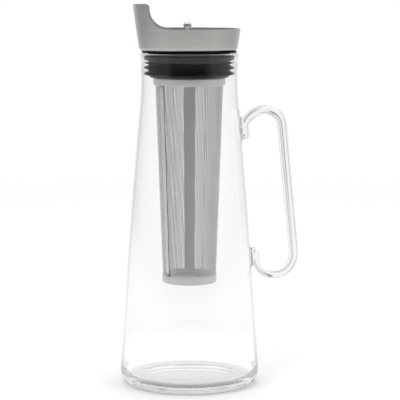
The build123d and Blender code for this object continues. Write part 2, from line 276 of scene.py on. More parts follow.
# %% Kinds of rays
def ray_kinds(tree):
    """Four masks: a look by the camera, one through glass, a mirror ray, and one that left through glass later."""
    rays = tree.nodes.new("ShaderNodeLightPath").outputs
    diffuse_before = maths(tree, "MINIMUM", rays["Diffuse Depth"], 1.0)
    glossy_before = maths(tree, "MINIMUM", rays["Glossy Depth"], 1.0)
    undimmed = maths(tree, "SUBTRACT", 1.0, diffuse_before)
    unbounced = maths(tree, "MULTIPLY", undimmed, maths(tree, "SUBTRACT", 1.0, glossy_before))
    through = maths(tree, "MULTIPLY", rays["Is Transmission Ray"], unbounced)
    # a ray that passes clear glass also counts as glossy, so that kind comes off first
    only_glossy = maths(tree, "SUBTRACT", rays["Is Glossy Ray"], rays["Is Transmission Ray"], clamp=True)
    mirrored = maths(tree, "MULTIPLY", only_glossy, undimmed)
    bounced = maths(tree, "MULTIPLY", undimmed, glossy_before)
    return rays["Is Camera Ray"], through, mirrored, maths(tree, "MULTIPLY", rays["Is Transmission Ray"], bounced)


def direction_group(name, inputs):
    """An empty group from a direction to a brightness. Returns it with its x, y, z, its inputs and its output."""
    group = bpy.data.node_groups.new(name, "ShaderNodeTree")
    group.interface.new_socket(name="Direction", in_out="INPUT", socket_type="NodeSocketVector")
    for socket in inputs:
        group.interface.new_socket(name=socket, in_out="INPUT", socket_type="NodeSocketFloat")
    group.interface.new_socket(name="Light", in_out="OUTPUT", socket_type="NodeSocketFloat")
    unit = group.nodes.new("ShaderNodeVectorMath")
    unit.operation = "NORMALIZE"
    start = group.nodes.new("NodeGroupInput").outputs
    link(group, start["Direction"], unit.inputs[0])
    return group, split(group, unit.outputs["Vector"]), start, group.nodes.new("NodeGroupOutput").inputs["Light"]


# %% The room that mirrors show
ROOM_FRONT = 0.08                 # how bright the room is in front, at the left and at the right
ROOM_LEFT = 0.36
ROOM_RIGHT = 0.52
ROOM_OVERHEAD = (0.25, 0.62)      # rise over which it turns white again, as the sine of the angle
INSIDE_DIMMING = 0.35             # share of the dimming that steel inside the jug shows


def room_group():
    """How bright the room is in a direction, for mirror rays."""
    group, (x, y, z), start, end = direction_group("room", ["Dimming"])
    front = remap(group, y, -0.25, -0.85, 0.0, 1 - ROOM_FRONT)
    left = remap(group, x, -0.35, -0.9, 0.0, 1 - ROOM_LEFT)
    right = remap(group, x, 0.4, 0.95, 0.0, 1 - ROOM_RIGHT)
    dim = maths(group, "MAXIMUM", maths(group, "MAXIMUM", front, left), right)
    dim = maths(group, "MULTIPLY", dim, remap(group, z, *ROOM_OVERHEAD, 1.0, 0.0))
    link(group, maths(group, "SUBTRACT", 1.0, maths(group, "MULTIPLY", dim, start["Dimming"])), end)
    return group


# %% The grey that draws the glass
# A photographer draws the edge of clear glass with grey cards just outside the picture. The wall of a jug bends
# light by up to thirty degrees at its outline, so eight soft greys stand in a ring and serve every side.
EDGE_GREYS = 8
WALL_GREYS = (1.0, 0.985)         # white and grey as the jug's walls show them, and as the handle's rod does
ROD_GREYS = (0.93, 0.62)
INNER_MIRROR = 0.87               # the outline of the wall, where its inner face mirrors what stands behind
EDGE_WIDTH = (-0.25, -0.95)


def edge_group():
    """How bright the surroundings are in a direction, for a look through glass."""
    group, (x, y, _), start, end = direction_group("edge_greys", ["White", "Grey"])
    turns = maths(group, "COSINE", maths(group, "MULTIPLY", maths(group, "ARCTAN2", x, y), EDGE_GREYS))
    link(group, remap(group, turns, *EDGE_WIDTH, start["White"], start["Grey"]), end)
    return group


room = room_group()
edge_greys = edge_group()


def two_faces(tree):
    """A mask for light that crossed just two faces of glass, as in the handle's rod, and not the jug's two walls."""
    depth = tree.nodes.new("ShaderNodeLightPath").outputs["Transmission Depth"]
    return maths(tree, "LESS_THAN", depth, 2.5)


def behind_glass(tree, direction):
    """Brightness of the surroundings for a look through glass."""
    node = tree.nodes.new("ShaderNodeGroup")
    node.node_tree = edge_greys
    link(tree, direction, node.inputs["Direction"])
    for name, greys in zip(("White", "Grey"), zip(WALL_GREYS, ROD_GREYS)):
        link(tree, remap(tree, two_faces(tree), 0, 1, *greys, smooth=False), node.inputs[name])
    return node.outputs["Light"]


def surroundings(tree, direction):
    """Ray masks and the brightness of the surroundings for a look through glass and for mirrors."""
    camera_ray, through, mirrored, left_jug = ray_kinds(tree)
    around = tree.nodes.new("ShaderNodeGroup")
    around.node_tree = room
    link(tree, direction, around.inputs["Direction"])
    inner_mirror = maths(tree, "MULTIPLY", left_jug, two_faces(tree))
    from_inside = maths(tree, "SUBTRACT", left_jug, inner_mirror)
    link(tree, remap(tree, from_inside, 0, 1, 1.0, INSIDE_DIMMING, smooth=False), around.inputs["Dimming"])
    outline = remap(tree, inner_mirror, 0, 1, 1.0, INNER_MIRROR, smooth=False)
    shiny = maths(tree, "ADD", mirrored, left_jug)
    return camera_ray, through, shiny, outline, behind_glass(tree, direction), around.outputs["Light"]


# %% The white table
TABLE_HALF = 90.0
TABLE_DROP = 0.0002               # below the glass, so that the two faces don't fight
TABLE_WHITE = 0.82
GLOW_NEAR = 0.28                  # glow of the table close to the object, for the camera
GLOW_THROUGH = 0.55               # the same, seen through glass
OWN_COLOUR_FADE = (0.3, 1.6)      # metres from the object over which the glow takes over from the lamps
THROUGH_FADE = (0.07, 0.22)       # the same, seen through glass
TABLE_OUTLINE = 2.6               # the lit table outshines the sky, so the wall's outline dims it more
ROOM_FADE = (0.65, 2.1)           # metres from the object over which mirrors lose the table


def table_finish():
    """White table top that looks evenly white to the camera and keeps its shadow close to the object."""
    material = bpy.data.materials.new("white_table")
    material.use_nodes = True
    tree = material.node_tree
    shader = tree.nodes["Principled BSDF"]
    shader.inputs["Roughness"].default_value = 0.9
    shader.inputs["Specular IOR Level"].default_value = 0.0
    place = object_coordinates(tree)
    distance = tree.nodes.new("ShaderNodeVectorMath")
    distance.operation = "LENGTH"
    link(tree, place, distance.inputs[0])
    distance = distance.outputs["Value"]
    camera_ray, through, shiny, outline, behind, around = surroundings(tree, place)
    outline = maths(tree, "POWER", outline, TABLE_OUTLINE)
    fade = [remap(tree, through, 0, 1, *ends, smooth=False) for ends in zip(OWN_COLOUR_FADE, THROUGH_FADE)]
    away = remap(tree, distance, *fade)
    own = remap(tree, away, 0, 1, TABLE_WHITE, 0.0, smooth=False)
    link(tree, maths(tree, "MULTIPLY", own, outline), shader.inputs["Base Color"])
    near = remap(tree, through, 0, 1, GLOW_NEAR, GLOW_THROUGH, smooth=False)
    far = remap(tree, through, 0, 1, 1.0, behind, smooth=False)
    seen = remap(tree, away, 0, 1, near, far, smooth=False)
    mirror_away = remap(tree, distance, *ROOM_FADE)
    mirror = maths(tree, "MULTIPLY", seen, remap(tree, mirror_away, 0, 1, 1.0, around, smooth=False))
    looked = maths(tree, "MAXIMUM", camera_ray, through)
    glow = maths(tree, "ADD", maths(tree, "MULTIPLY", looked, seen), maths(tree, "MULTIPLY", shiny, mirror))
    link(tree, maths(tree, "MULTIPLY", glow, outline), shader.inputs["Emission Color"])
    shader.inputs["Emission Strength"].default_value = 1.0
    material.cycles.emission_sampling = "NONE"
    return material


bm = bmesh.new()
bmesh.ops.create_grid(bm, x_segments=8, y_segments=8, size=TABLE_HALF)
bmesh.ops.translate(bm, verts=bm.verts, vec=(0, 0, -TABLE_DROP))
table = to_object(bm, "table_top")
table.data.materials.append(table_finish())
print("table:", 2 * TABLE_HALF, "m square")

# %% [markdown]
# ## Cards for the handle
# The handle is a solid rod, which works as a strong lens and shows what stands right behind it. A dark soft card
# there draws the line inside the handle, and one that hangs higher draws the line under its bend. Their edges fade
# out, so that no line ends abruptly, and only a look through the rod meets them.

# %% Cards
HANDLE_CARDS = {                  # place, height of its lower edge, width, height and grey
    "handle_card": ((0.120, 0.50), 0.0, 0.070, 0.36, 0.22),
    "bend_card": ((0.100, 0.50), 0.28, 0.30, 0.20, 0.55),
}


def card_finish(name, grey):
    """Glows in grey in the middle and in white at the edges."""
    material = bpy.data.materials.new(name)
    material.use_nodes = True
    tree = material.node_tree
    tree.nodes.remove(tree.nodes["Principled BSDF"])
    u, v, _ = split(tree, tree.nodes.new("ShaderNodeUVMap").outputs[0])
    from_middle = [maths(tree, "ABSOLUTE", maths(tree, "SUBTRACT", value, 0.5)) for value in (u, v)]
    masks = [remap(tree, value, 0.12, 0.5, 1.0, 0.0) for value in from_middle]
    shade = maths(tree, "MULTIPLY", maths(tree, "MULTIPLY", *masks), two_faces(tree))
    light = tree.nodes.new("ShaderNodeEmission")
    drawn = remap(tree, shade, 0, 1, behind_glass(tree, object_coordinates(tree)), grey, smooth=False)
    link(tree, drawn, light.inputs["Color"])
    link(tree, light.outputs[0], tree.nodes["Material Output"].inputs["Surface"])
    material.cycles.emission_sampling = "NONE"
    return material


def card(name, place, lower_edge, width, height, grey):
    """An upright card that faces the object."""
    bm = bmesh.new()
    bm.loops.layers.uv.new("card")
    bmesh.ops.create_grid(bm, x_segments=1, y_segments=1, size=0.5, calc_uvs=True)
    bmesh.ops.scale(bm, verts=bm.verts, vec=(width, height, 1))
    upright = Matrix.Rotation(atan2(place[1], place[0]) + pi / 2, 4, "Z") @ Matrix.Rotation(pi / 2, 4, "X")
    middle = Matrix.Translation((*place, lower_edge + height / 2))
    bmesh.ops.transform(bm, matrix=middle @ upright, verts=bm.verts)
    made = to_object(bm, name)
    made.data.materials.append(card_finish(name, grey))
    for kind in ("camera", "diffuse", "glossy", "shadow"):
        setattr(made, f"visible_{kind}", False)
    return made


for name, values in HANDLE_CARDS.items():
    card(name, *values)
print("cards:", ", ".join(HANDLE_CARDS))

# %% [markdown]
# ## Light
# The sky is the main light, even and soft. A large lamp from the upper left and a weaker one from the right model
# the dull pieces and set the shadow on the table. Mirrors don't show the lamps, or every one would leave its
# square in the glass.

# %% Sky
SKY_STRENGTH = 0.62

world = bpy.data.worlds.new("studio")
bpy.context.scene.world = world
world.use_nodes = True
tree = world.node_tree
sky = tree.nodes["Background"]
sky.inputs["Color"].default_value = (1, 1, 1, 1)
direction = tree.nodes.new("ShaderNodeTexCoord").outputs["Generated"]
camera_ray, through, shiny, outline, behind, around = surroundings(tree, direction)
light = remap(tree, camera_ray, 0, 1, SKY_STRENGTH, 1.0, smooth=False)
light = remap(tree, through, 0, 1, light, behind, smooth=False)
light = remap(tree, shiny, 0, 1, light, around, smooth=False)
link(tree, maths(tree, "MULTIPLY", light, outline), sky.inputs["Strength"])
world.cycles.sampling_method = "NONE"
print("sky strength", SKY_STRENGTH)

# %% Soft lamps
LAMPS = {                         # place, size and power
    "key_lamp": ((-0.9, -1.1, 1.25), 0.9, 9.0),
    "fill_lamp": ((1.2, -0.9, 0.9), 0.8, 5.5),
    "top_lamp": ((0.1, 0.5, 1.5), 1.0, 6.0),
}
AIM = Vector((0, 0, 0.2))

for name, (place, size, power) in LAMPS.items():
    lamp = bpy.data.lights.new(name, "AREA")
    lamp.size = size
    lamp.energy = power
    holder = bpy.data.objects.new(name, lamp)
    holder.location = place
    holder.rotation_euler = (AIM - Vector(place)).to_track_quat("-Z", "Y").to_euler()
    holder.visible_glossy = False
    holder.visible_transmission = False
    bpy.context.scene.collection.objects.link(holder)
print("lamps:", ", ".join(LAMPS))

# %% How often light may bounce
# Light that enters the wall at a weld or in the heavy foot is trapped by total reflection and runs a long way
# inside the glass, as in a light guide. Paths that end early leave black patches there.
GLASS_BOUNCES = 200
bpy.context.scene.cycles.max_bounces = GLASS_BOUNCES
bpy.context.scene.cycles.transmission_bounces = GLASS_BOUNCES
bpy.context.scene.cycles.glossy_bounces = GLASS_BOUNCES       # total reflection inside glass counts as glossy
print("bounces in glass:", GLASS_BOUNCES)

# %% [markdown]
# ## Shared effects
# Brushed and turned metal shows fine lines that run round the piece. Handled surfaces show faint smudges. Both are
# node groups, built once, that put out a plain value. Each material decides how far that value changes its roughness
# or height.

# %% Node groups
def new_group(name, inputs, outputs):
    """A shader node group with named float inputs besides its Vector. Returns the tree and its end sockets."""
    group = bpy.data.node_groups.new(name, "ShaderNodeTree")
    group.interface.new_socket(name="Vector", in_out="INPUT", socket_type="NodeSocketVector")
    for socket, value in inputs.items():
        made = group.interface.new_socket(name=socket, in_out="INPUT", socket_type="NodeSocketFloat")
        made.default_value = value
    for socket in outputs:
        group.interface.new_socket(name=socket, in_out="OUTPUT", socket_type="NodeSocketFloat")
    start = group.nodes.new("NodeGroupInput").outputs
    end = group.nodes.new("NodeGroupOutput").inputs
    return group, start, end


def noise(tree, vector, scale, detail=2.0, rough=0.5):
    """A Noise Texture. Returns its value."""
    node = tree.nodes.new("ShaderNodeTexNoise")
    link(tree, vector, node.inputs["Vector"])
    if isinstance(scale, bpy.types.NodeSocket):
        link(tree, scale, node.inputs["Scale"])
    else:
        node.inputs["Scale"].default_value = scale
    node.inputs["Detail"].default_value = detail
    node.inputs["Roughness"].default_value = rough
    return node.outputs["Fac"]


def turned_grain_group():
    """Fine lines that run round the vertical axis, on walls and on flat discs alike."""
    group, start, end = new_group("turned_grain", {"Fineness": 3000.0, "Sweep": 3.0}, ["Lines"])
    x, y, z = split(group, start["Vector"])
    radius = maths(group, "SQRT", maths(group, "ADD", maths(group, "MULTIPLY", x, x), maths(group, "MULTIPLY", y, y)))
    radius = maths(group, "MAXIMUM", radius, 0.0001)
    across = maths(group, "MULTIPLY", maths(group, "ADD", z, radius), start["Fineness"])
    joined = group.nodes.new("ShaderNodeCombineXYZ")
    link(group, maths(group, "MULTIPLY", maths(group, "DIVIDE", x, radius), start["Sweep"]), joined.inputs[0])
    link(group, maths(group, "MULTIPLY", maths(group, "DIVIDE", y, radius), start["Sweep"]), joined.inputs[1])
    link(group, across, joined.inputs[2])
    link(group, noise(group, joined.outputs[0], 1.0, 3.0, 0.6), end["Lines"])
    return group


def smudge_group():
    """Soft uneven patches, as touching leaves them."""
    group, start, end = new_group("smudges", {"Scale": 40.0}, ["Patches"])
    value = noise(group, start["Vector"], start["Scale"], 3.0, 0.55)
    link(group, remap(group, value, 0.35, 0.7), end["Patches"])
    return group


def grit_group():
    """The fine even texture of a spark-eroded mould."""
    group, start, end = new_group("mould_texture", {"Scale": 2500.0}, ["Bumps"])
    link(group, noise(group, start["Vector"], start["Scale"], 1.0, 0.5), end["Bumps"])
    return group


turned_grain = turned_grain_group()
smudges = smudge_group()
mould_texture = grit_group()
print("groups:", ", ".join(group.name for group in bpy.data.node_groups))

# %% Place a group, add a bump
def place_group(tree, group, vector, **values):
    """Puts a shared effect into a material with its own values. Returns its first output."""
    node = tree.nodes.new("ShaderNodeGroup")
    node.node_tree = group
    link(tree, vector, node.inputs["Vector"])
    for name, value in values.items():
        node.inputs[name].default_value = value
    return node.outputs[0]


def bump(tree, shader, height, distance, strength=1.0):
    """Raises a surface by a height map, with the map's full swing in metres."""
    node = tree.nodes.new("ShaderNodeBump")
    node.inputs["Distance"].default_value = distance
    node.inputs["Strength"].default_value = strength
    link(tree, height, node.inputs["Height"])
    link(tree, node.outputs["Normal"], shader.inputs["Normal"])
    return node


def new_finish(name, colour, roughness, metallic=0.0):
    """A material with a Principled BSDF set to plain values. Returns material, tree, shader and coordinates."""
    material = bpy.data.materials.new(name)
    material.use_nodes = True
    tree = material.node_tree
    shader = tree.nodes["Principled BSDF"]
    shader.inputs["Base Color"].default_value = (*colour, 1)
    shader.inputs["Roughness"].default_value = roughness
    shader.inputs["Metallic"].default_value = metallic
    return material, tree, shader, object_coordinates(tree)


def blend_colours(tree, factor, one, two):
    """A Mix node on colours. Returns its result."""
    node = tree.nodes.new("ShaderNodeMix")
    node.data_type = "RGBA"
    link(tree, factor, node.inputs["Factor"])
    for socket, colour in ((node.inputs[6], one), (node.inputs[7], two)):
        if isinstance(colour, bpy.types.NodeSocket):
            link(tree, colour, socket)
        else:
            socket.default_value = (*colour, 1)
    return node.outputs[2]


# %% [markdown]
# ## Glass
# Borosilicate glass bends light by 1.47 and has almost no colour of its own. Blown by hand, it isn't quite even:
# a slow ripple in its surface moves the reflections a little. A very low bump does that, and roughness stays at 0.

# %% Clear glass
def clear_glass_finish():
    material, tree, shader, place = new_finish("clear_glass", (0.992, 0.993, 0.990), 0.0)
    shader.inputs["Transmission Weight"].default_value = 1.0
    shader.inputs["IOR"].default_value = 1.47
    stretch = tree.nodes.new("ShaderNodeMapping")
    stretch.inputs["Scale"].default_value = (1.0, 1.0, 0.25)      # ripples run up the jug
    link(tree, place, stretch.inputs["Vector"])
    ripple = noise(tree, stretch.outputs[0], 55.0, 1.0)
    bump(tree, shader, ripple, 0.0003, 0.35)
    return material


clear_glass = clear_glass_finish()

# %% [markdown]
# ## Steel
# The lid is satin steel, brushed round on a lathe: fine lines, broad soft reflections. The knob is polished, the
# sleeve is etched sheet, and the strips over its seam carry painted shade along their long edges and on their hidden
# back.

# %% Steel finishes
LID_STEEL = ((0.425, 0.415, 0.40), (0.50, 0.49, 0.475))      # between the brush lines and on them
# painted light: a lighter copy of the lid's satin steel for the collar and foot ring inside the glass, making up for
# the lamp light that the glass holds back
LIT_RING_STEEL = ((0.54, 0.535, 0.52), (0.62, 0.615, 0.60))
POLISHED = (0.85, 0.84, 0.83)
SHEET = (0.74, 0.735, 0.72)
STRIP = (0.63, 0.625, 0.61)
# painted shade along the straps' long edges, where they stand off the sheet
STRAP_EDGE_SHADE = (0.24, 0.235, 0.225)
# painted shade on the straps' hidden back, and more along its edges, where the strip blocks the light from behind
STRAP_BACK_SHADE = ((0.05, 0.045, 0.04), (0.09, 0.085, 0.08))
STRAP_BACK_EDGE_SHADE = (0.015, 0.014, 0.013)


def satin_steel_finish(name, dull, bright):
    material, tree, shader, place = new_finish(name, dull, 0.34, 1.0)
    fine = place_group(tree, turned_grain, place, Fineness=5200.0, Sweep=2.5)
    broad = place_group(tree, turned_grain, place, Fineness=700.0, Sweep=1.5)
    patches = place_group(tree, smudges, place, Scale=55.0)
    lines = maths(tree, "ADD", maths(tree, "MULTIPLY", fine, 0.7), maths(tree, "MULTIPLY", broad, 0.3))
    colour = blend_colours(tree, remap(tree, lines, 0.3, 0.7), dull, bright)
    link(tree, colour, shader.inputs["Base Color"])
    rough = maths(tree, "ADD", remap(tree, lines, 0.25, 0.75, 0.29, 0.38), maths(tree, "MULTIPLY", patches, 0.03))
    link(tree, rough, shader.inputs["Roughness"])
    bump(tree, shader, lines, 0.00006, 1.0)
    return material


def polished_steel_finish():
    material, tree, shader, place = new_finish("polished_steel", POLISHED, 0.06, 1.0)
    patches = place_group(tree, smudges, place, Scale=260.0)
    link(tree, remap(tree, patches, 0, 1, 0.025, 0.07), shader.inputs["Roughness"])
    return material


def perforated_steel_finish():
    material, tree, shader, place = new_finish("perforated_steel", SHEET, 0.36, 1.0)
    patches = place_group(tree, smudges, place, Scale=70.0)
    colour = blend_colours(tree, patches, (0.70, 0.695, 0.68), (0.78, 0.775, 0.76))
    link(tree, colour, shader.inputs["Base Color"])
    link(tree, remap(tree, patches, 0, 1, 0.32, 0.42), shader.inputs["Roughness"])
    bump(tree, shader, noise(tree, place, 900.0), 0.00002, 0.4)
    return material


def dull_steel_finish():
    """The inside of the sleeve, which the etching bath left matt."""
    material, tree, shader, place = new_finish("dull_steel", (0.35, 0.345, 0.335), 0.55, 1.0)
    patches = place_group(tree, smudges, place, Scale=90.0)
    link(tree, blend_colours(tree, patches, (0.31, 0.305, 0.295), (0.39, 0.385, 0.375)), shader.inputs["Base Color"])
    link(tree, remap(tree, patches, 0, 1, 0.5, 0.62), shader.inputs["Roughness"])
    return material


def strap_edge_shade(tree, place):
    """A mask for the two long edges of a strip, a little wavy, where painted shade darkens it. The strip's own UV map
    runs across it.
    """
    across, _, _ = split(tree, tree.nodes.new("ShaderNodeUVMap").outputs[0])
    from_middle = maths(tree, "ABSOLUTE", maths(tree, "SUBTRACT", across, 0.5))
    wobble = maths(tree, "MULTIPLY", maths(tree, "SUBTRACT", noise(tree, place, 60.0), 0.5), 0.03)
    return remap(tree, maths(tree, "ADD", from_middle, wobble), 0.40, 0.48)


def strap_steel_finish():
    """Plain strip whose long edges are painted darker, as painted shade of the gap where the strip stands on the
    sheet.
    """
    material, tree, shader, place = new_finish("strap_steel", STRIP, 0.3, 1.0)
    link(tree, blend_colours(tree, strap_edge_shade(tree, place), STRIP, STRAP_EDGE_SHADE), shader.inputs["Base Color"])
    drawn = noise(tree, place, 400.0, 2.0)
    link(tree, remap(tree, drawn, 0.3, 0.7, 0.26, 0.36), shader.inputs["Roughness"])
    return material


def shaded_strap_back_finish():
    """The hidden side of a welded strip, painted very dark as painted shade, because the strip blocks the light from
    behind, and darker still at its edges.
    """
    material, tree, shader, place = new_finish("shaded_strap_back", STRAP_BACK_SHADE[0], 0.5, 1.0)
    patches = place_group(tree, smudges, place, Scale=220.0)
    colour = blend_colours(tree, strap_edge_shade(tree, place), blend_colours(tree, patches, *STRAP_BACK_SHADE), STRAP_BACK_EDGE_SHADE)
    link(tree, colour, shader.inputs["Base Color"])
    link(tree, remap(tree, patches, 0, 1, 0.45, 0.6), shader.inputs["Roughness"])
    return material


satin_steel = satin_steel_finish("satin_steel", *LID_STEEL)
lit_ring_steel = satin_steel_finish("lit_ring_steel", *LIT_RING_STEEL)
polished_steel = polished_steel_finish()
perforated_steel = perforated_steel_finish()
dull_steel = dull_steel_finish()
strap_steel = strap_steel_finish()
shaded_strap_back = shaded_strap_back_finish()

# %% [markdown]
# ## Silicone and plastic
# The gasket is soft black silicone, which looks deep grey because its skin scatters a little light. The plug behind
# it is moulded plastic with the fine texture of its mould.

# %% Black finishes
def black_silicone_finish():
    material, tree, shader, place = new_finish("black_silicone", (0.003, 0.004, 0.004), 0.45)
    shader.inputs["Specular IOR Level"].default_value = 0.05
    shader.inputs["Sheen Weight"].default_value = 0.01
    shader.inputs["Sheen Roughness"].default_value = 0.4
    patches = place_group(tree, smudges, place, Scale=90.0)
    link(tree, remap(tree, patches, 0, 1, 0.36, 0.5), shader.inputs["Roughness"])
    colour = blend_colours(tree, patches, (0.002, 0.0025, 0.0025), (0.004, 0.005, 0.0055))
    link(tree, colour, shader.inputs["Base Color"])
    bump(tree, shader, noise(tree, place, 500.0), 0.00003, 0.3)
    return material


def black_plastic_finish():
    material, tree, shader, place = new_finish("black_plastic", (0.02, 0.02, 0.021), 0.45)
    grit = place_group(tree, mould_texture, place, Scale=2400.0)
    patches = place_group(tree, smudges, place, Scale=60.0)
    link(tree, remap(tree, patches, 0, 1, 0.4, 0.52), shader.inputs["Roughness"])
    colour = blend_colours(tree, patches, (0.017, 0.017, 0.018), (0.028, 0.028, 0.029))
    link(tree, colour, shader.inputs["Base Color"])
    bump(tree, shader, grit, 0.00004, 0.5)
    return material


black_silicone = black_silicone_finish()
black_plastic = black_plastic_finish()
print("materials:", ", ".join(material.name for material in bpy.data.materials))

# %% [markdown]
# ## The jug's body
# The jug is blown into a mould and its rim is fire polished. Its half section runs under the foot, up the outer
# side, over the rim and down the inside. Turning one closed section gives glass with a true inside and outside,
# which is what makes it bend light as the real wall does.

# %% Blow the jug
SIDE_STEPS = 22
JUG_TURN = 160


def side_points(inset, low, high):
    """Points up the jug's side between two heights, without the ends."""
    return [(wall_radius(low + (high - low) * step / SIDE_STEPS, inset), low + (high - low) * step / SIDE_STEPS)
            for step in range(1, SIDE_STEPS)]


def jug_body():
    bead = (RIM_REACH + GLASS_WALL) / 2
    bead_height = JUG_HEIGHT - bead
    flare_start = bead_height - RIM_FLARE
    bore = NECK_RADIUS - GLASS_WALL
    outer_neck, inner_neck = neck_start(0), neck_start(GLASS_WALL)
    under = [(PUSH_UP_RADIUS * share, PUSH_UP * (1 - share**2)) for share in (0, 0.25, 0.5, 0.75, 1)]
    outside = [(wall_radius(0), 0)] + side_points(0, HEEL_ROUND, outer_neck) + [(NECK_RADIUS, outer_neck)]
    flare = [(NECK_RADIUS + RIM_REACH * (3 * s**2 - 2 * s**3), flare_start + RIM_FLARE * s)
             for s in (0, 0.15, 0.3, 0.5, 0.7, 0.85, 1)]
    crown = NECK_RADIUS + RIM_REACH - bead
    rim = [(crown + bead * cos(a), bead_height + bead * sin(a)) for a in (pi * n / 10 for n in range(1, 10))]
    inner_low = GLASS_FLOOR + INNER_HEEL_ROUND
    inside = [(bore, bead_height), (bore, inner_neck)]
    inside += side_points(GLASS_WALL, inner_low, inner_neck)[::-1]
    inside += [(wall_radius(GLASS_FLOOR, GLASS_WALL), GLASS_FLOOR), (0, GLASS_FLOOR)]
    points = under + outside + flare + rim + inside
    bm, verts = section(points, closed=False)
    corners = {len(under): (HEEL_ROUND, 12), len(under) + SIDE_STEPS: (SHOULDER_ROUND, 6)}
    corners[len(points) - 2] = (INNER_HEEL_ROUND, 12)
    corners[len(under + outside + flare + rim) + 1] = (SHOULDER_ROUND + GLASS_WALL, 6)
    for number, (radius, segments) in corners.items():
        round_corner(bm, verts[number], radius, segments)
    turn(bm, JUG_TURN)
    return to_object(bm, "glass_jug", sharp=60)


jug = jug_body()

# %% [markdown]
# ## The handle
# One glass rod, bent hot over a form. It is made the way it is bent: a ring of vertices starts at one end and is
# pushed straight or spun round the centre of each bend. Both ends close with a dome.

# %% Bend the rod
ROD_RADIUS = 0.0039
ROD_SIDES = 28
HANDLE_DROP = 0.0445
HANDLE_REACH = 0.0208
GRIP_LENGTH = 0.1015
TOP_BEND = 0.0132
NECK_BEND = 0.018
NECK_BEND_TURN = radians(60)
FOOT_BEND = 0.008                 # eases the rod into line with the wall
FOOT_LENGTH = 0.006
LOW_BEND = 0.0162
CURL_BEND = 0.014
TAIL_LENGTH = 0.0048
TAIL_STANDOFF = 0.00375
LOWER_WELD_DROP = 0.117


class Rod:
    """A tube in the plane y = 0 that grows from its open end, as a rod is fed and bent."""

    def __init__(self, place, heading):
        self.bm = bmesh.new()
        self.place = Vector((place[0], 0, place[1]))
        self.heading = heading
        upright = Matrix.Rotation(pi / 2 - heading, 4, "Y")
        made = bmesh.ops.create_circle(self.bm, cap_ends=False, segments=ROD_SIDES, radius=ROD_RADIUS,
                                       matrix=Matrix.Translation(self.place) @ upright)
        self.first = self.last = made["verts"]
        self.first_place, self.first_heading = self.place.copy(), heading

    def forward(self):
        return Vector((cos(self.heading), 0, sin(self.heading)))

    def ring_edges(self, verts):
        ring = set(verts)
        return [edge for edge in self.bm.edges if edge.verts[0] in ring and edge.verts[1] in ring]

    def straight(self, length, steps):
        for _ in range(steps):
            made = bmesh.ops.extrude_edge_only(self.bm, edges=self.ring_edges(self.last))["geom"]
            self.last = [item for item in made if isinstance(item, bmesh.types.BMVert)]
            bmesh.ops.translate(self.bm, verts=self.last, vec=self.forward() * length / steps)
        self.place += self.forward() * length

    def bend(self, radius, angle, steps):
        """Turns right about a centre that lies a radius to the right of the rod's end."""
        to_centre = Vector((sin(self.heading), 0, -cos(self.heading))) * radius
        centre = self.place + to_centre
        made = bmesh.ops.spin(self.bm, geom=self.last + self.ring_edges(self.last), cent=centre, axis=(0, 1, 0),
                              dvec=(0, 0, 0), angle=angle, steps=steps)["geom_last"]
        self.last = [item for item in made if isinstance(item, bmesh.types.BMVert)]
        self.place = centre + Matrix.Rotation(angle, 3, "Y") @ -to_centre
        self.heading -= angle

    def dome(self, verts, place, forward, steps=7):
        """Closes an open end with a half ball."""
        ring = verts
        for step in range(1, steps):
            before, after = (pi / 2 * n / steps for n in (step - 1, step))
            made = bmesh.ops.extrude_edge_only(self.bm, edges=self.ring_edges(ring))["geom"]
            ring = [item for item in made if isinstance(item, bmesh.types.BMVert)]
            middle = place + forward * ROD_RADIUS * sin(before)
            share = cos(after) / cos(before)
            bmesh.ops.scale(self.bm, verts=ring, vec=(share,) * 3, space=Matrix.Translation(-middle))
            bmesh.ops.translate(self.bm, verts=ring, vec=forward * ROD_RADIUS * (sin(after) - sin(before)))
        made = bmesh.ops.extrude_edge_only(self.bm, edges=self.ring_edges(ring))["geom"]
        ring = [item for item in made if isinstance(item, bmesh.types.BMVert)]
        bmesh.ops.pointmerge(self.bm, verts=ring, merge_co=place + forward * ROD_RADIUS)

    def close(self):
        back = -Vector((cos(self.first_heading), 0, sin(self.first_heading)))
        self.dome(self.first, self.first_place, back)
        self.dome(self.last, self.place, self.forward())
        bmesh.ops.recalc_face_normals(self.bm, faces=self.bm.faces)
        return self.bm


def bend_offset(radius, start, end):
    """How far a right-hand bend between two headings moves the rod's end, in x and z."""
    return radius * (sin(start) - sin(end)), radius * (cos(end) - cos(start))


